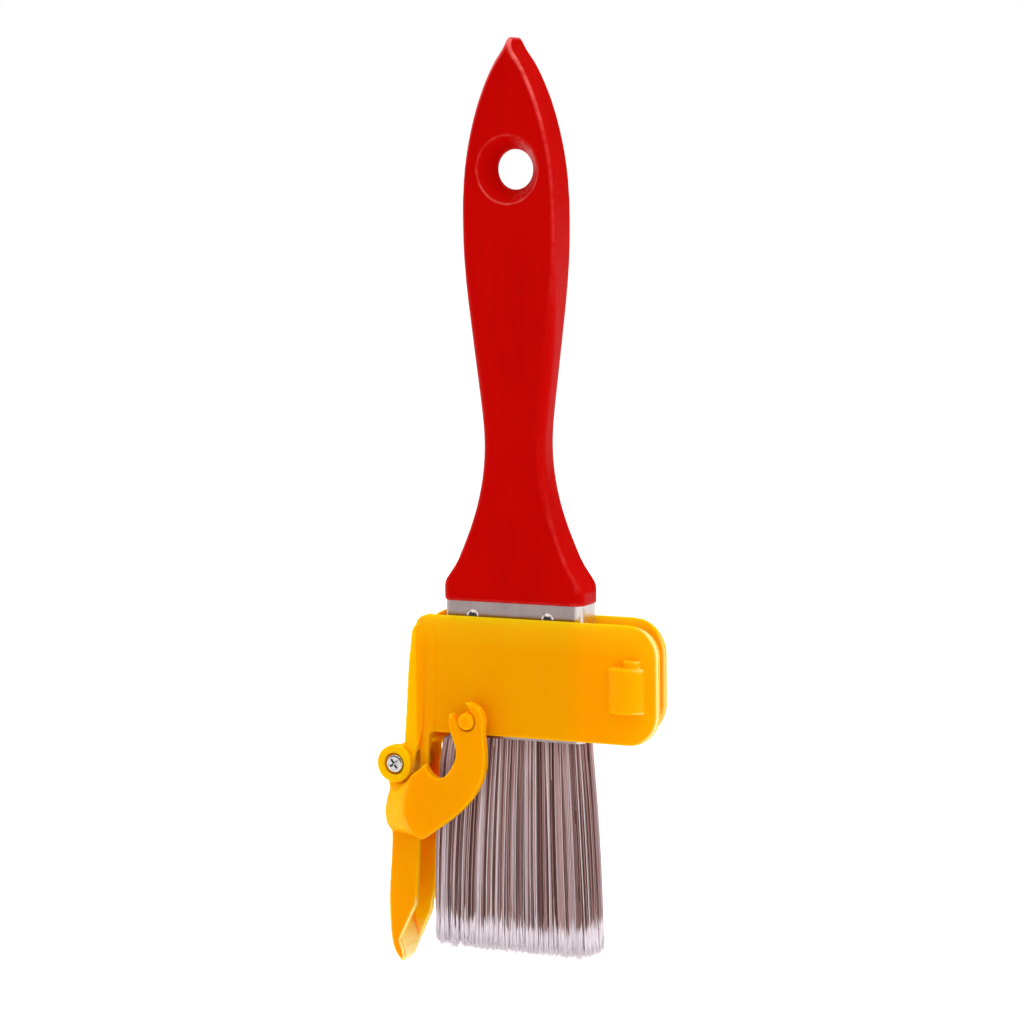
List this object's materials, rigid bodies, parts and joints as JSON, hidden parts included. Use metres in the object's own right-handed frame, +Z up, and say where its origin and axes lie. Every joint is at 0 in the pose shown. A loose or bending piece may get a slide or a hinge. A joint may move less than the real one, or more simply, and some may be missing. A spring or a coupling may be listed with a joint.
{
  "type": "paint brush with edging guard",
  "caption": "Flat paint brush with a slide-on yellow clip and a hinged, channel-shaped edging guard that snaps shut on a peg.",
  "frame": {"origin": "centre of the hanging hole near the handle's tip", "axes": "+Z up along the handle to its tip, with the bristles down; +X across the brush's width to the clip's open end; +Y from the front plate to the rear plate"},
  "size_m": [0.0796, 0.0223, 0.2405],
  "materials": {
    "handle_paint": "gloss red paint on wood",
    "ferrule_steel": "tinned sheet steel",
    "nail_steel": "polished",
    "epoxy": "cured resin",
    "plug_wood": "bare",
    "filament": "tapered synthetic filaments with pale tips",
    "clip_plastic": "glossy moulded yellow",
    "guard_plastic": "glossy moulded yellow",
    "screw_steel": "plated",
    "nut_steel": "plated"
  },
  "bodies": {
    "brush": {"handle": "handle_paint", "ferrule": "ferrule_steel", "ferrule_nails": "nail_steel", "epoxy_setting": "epoxy", "spacer_plug": "plug_wood", "front_filament_pack": "filament", "rear_filament_pack": "filament"},
    "clip": {"clip_body": "clip_plastic", "pivot_screw": "screw_steel", "pivot_nut": "nut_steel"},
    "guard": {"guard": "guard_plastic"}
  },
  "joints": [
    {"name": "clip_slide", "type": "slide", "parent": "brush", "child": "clip", "axis": [-1, 0, 0], "range_m": [0, 0.062]},
    {"name": "guard_hinge", "type": "hinge", "parent": "clip", "child": "guard", "pos_m": [-0.0328, 0, -0.1539], "axis": [0, 1, 0], "range_deg": [0, 100]}
  ]
}
